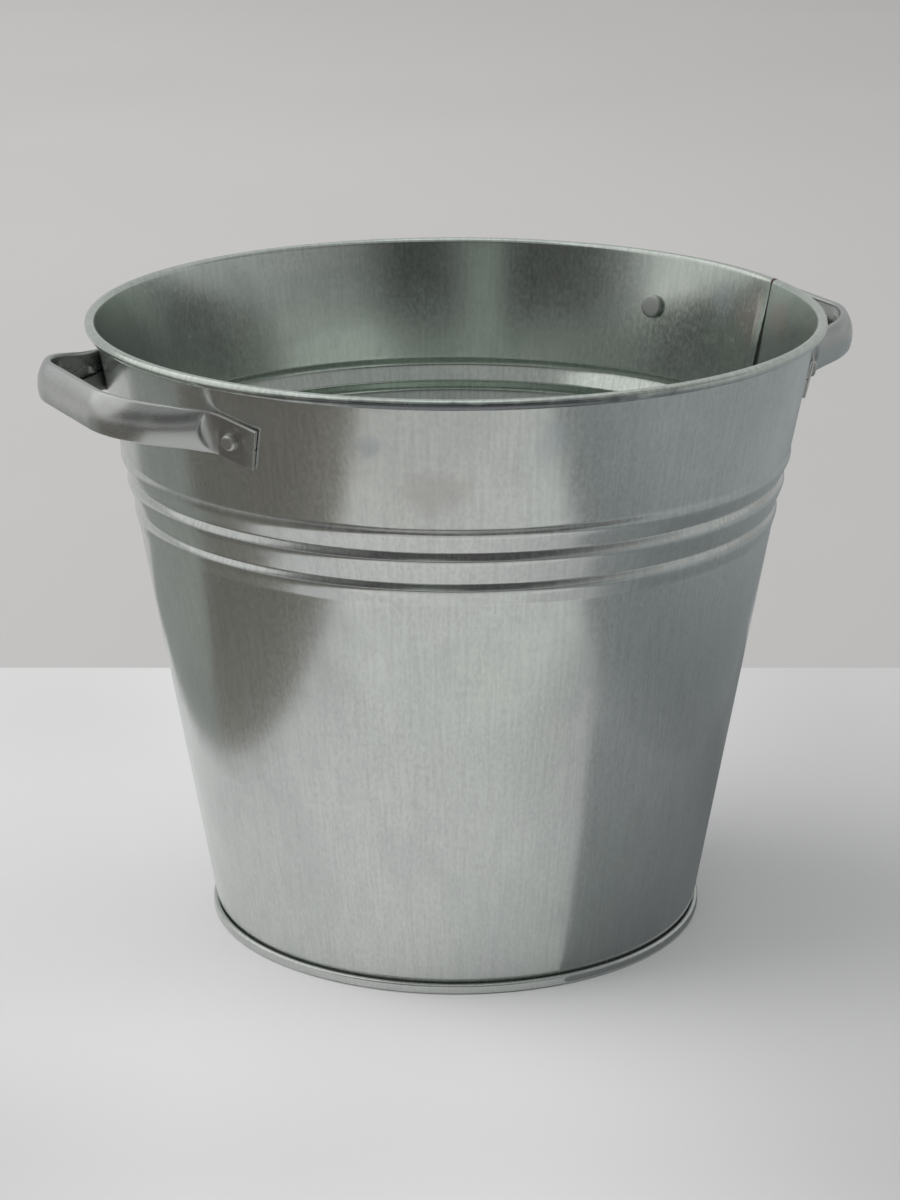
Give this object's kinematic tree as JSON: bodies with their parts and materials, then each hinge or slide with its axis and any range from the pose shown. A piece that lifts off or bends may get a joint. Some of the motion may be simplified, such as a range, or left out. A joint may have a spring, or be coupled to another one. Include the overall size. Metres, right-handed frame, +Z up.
{
  "type": "ice bucket",
  "caption": "Tapered galvanised sheet-metal ice bucket with a rolled rim, rolled beads, a double-seamed base and riveted strap handles.",
  "frame": {"origin": "centre of the resting ring under the base, on the plane that the bucket stands on", "axes": "+Z up out of the mouth; -X through the middle of the left handle; the right handle and the side seam are 2 to 3 degrees off +X"},
  "size_m": [0.3417, 0.3, 0.256],
  "materials": {
    "wall_sheet": "satin galvanised zinc with a fine vertical grain",
    "base_sheet": "satin galvanised zinc",
    "strap": "smoother satin zinc, rolled along the strap",
    "rivet": "worn bright steel"
  },
  "bodies": {
    "root": {"body_wall": "wall_sheet", "base_pan": "base_sheet", "handle_right": "strap", "handle_left": "strap", "rivet_right_front": "rivet", "rivet_right_back": "rivet", "rivet_left_front": "rivet", "rivet_left_back": "rivet"}
  },
  "joints": []
}
